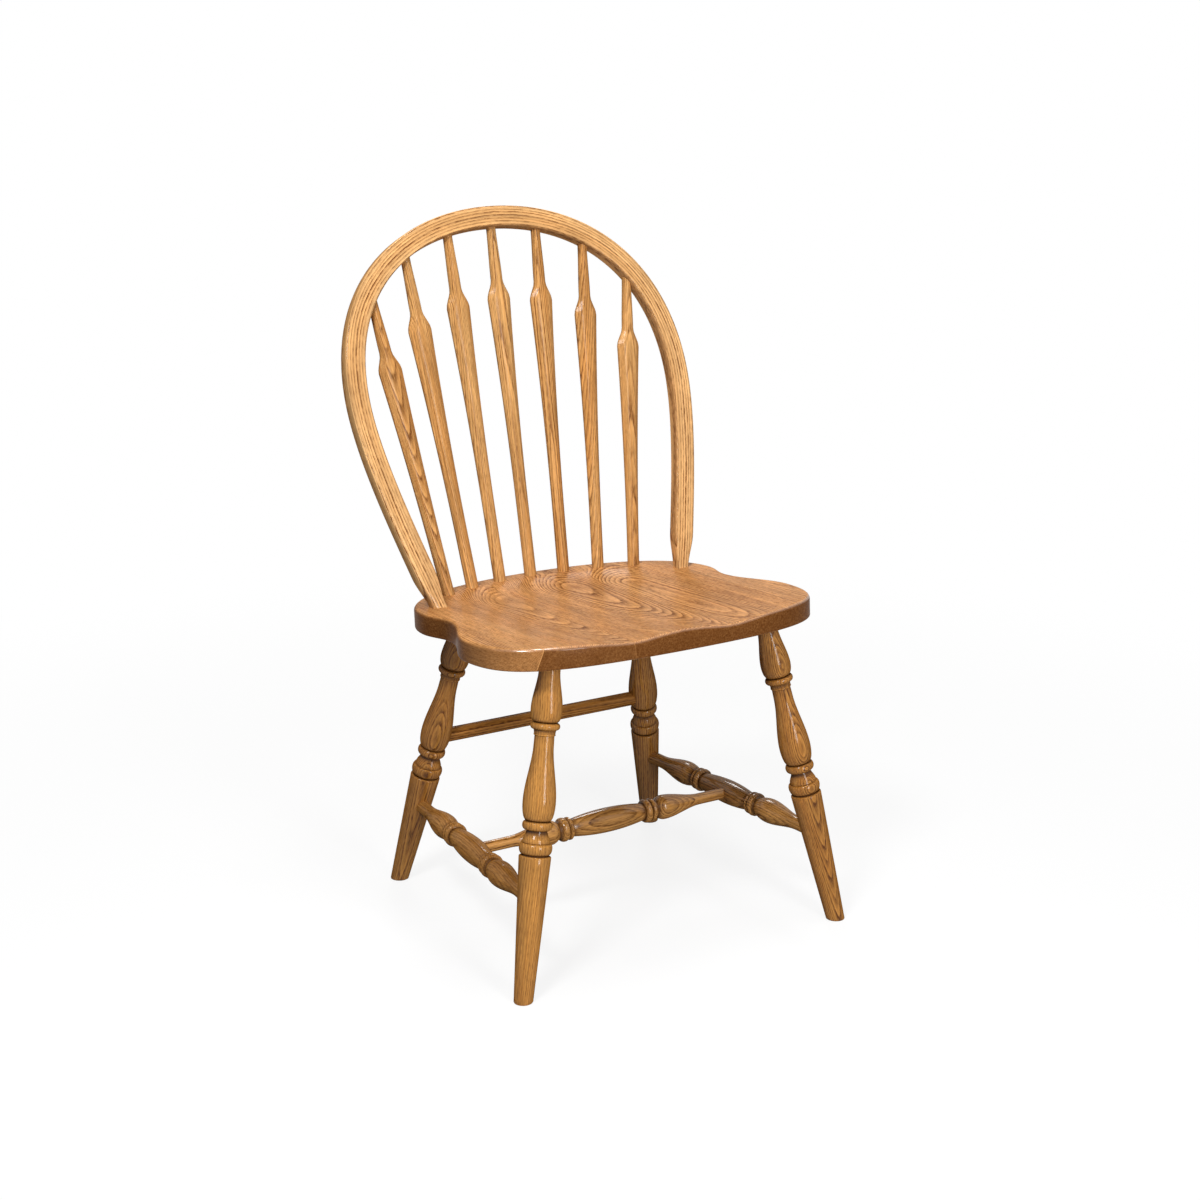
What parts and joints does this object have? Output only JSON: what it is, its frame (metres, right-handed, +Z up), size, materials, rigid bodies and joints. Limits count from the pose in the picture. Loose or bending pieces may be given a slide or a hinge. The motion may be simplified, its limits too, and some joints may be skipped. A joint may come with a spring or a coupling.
{
  "type": "bow back side chair",
  "caption": "Wooden side chair with a scooped plank seat, a bent bow filled with arrow spindles, and splayed turned legs tied by turned stretchers.",
  "frame": {"origin": "on the floor under the middle of the chair's outer box", "axes": "+Z up, the chair faces -Y, +X to the right as seen from the front"},
  "size_m": [0.5506, 0.5703, 0.9663],
  "materials": {
    "oak_seat": "golden oak under satin lacquer",
    "oak_bow": "golden oak under satin lacquer",
    "oak_spindle": "golden oak under satin lacquer",
    "oak_leg": "golden oak under satin lacquer",
    "oak_stretcher": "golden oak under satin lacquer"
  },
  "bodies": {
    "root": {"seat_board_1": "oak_seat", "seat_board_2": "oak_seat", "seat_board_3": "oak_seat", "seat_board_4": "oak_seat", "seat_board_5": "oak_seat", "bow": "oak_bow", "spindle_1": "oak_spindle", "spindle_2": "oak_spindle", "spindle_3": "oak_spindle", "spindle_4": "oak_spindle", "spindle_5": "oak_spindle", "spindle_6": "oak_spindle", "spindle_7": "oak_spindle", "leg_front_left": "oak_leg", "leg_front_right": "oak_leg", "leg_rear_left": "oak_leg", "leg_rear_right": "oak_leg", "side_stretcher_left": "oak_stretcher", "side_stretcher_right": "oak_stretcher", "centre_stretcher": "oak_stretcher", "rear_stretcher": "oak_stretcher"}
  },
  "joints": []
}
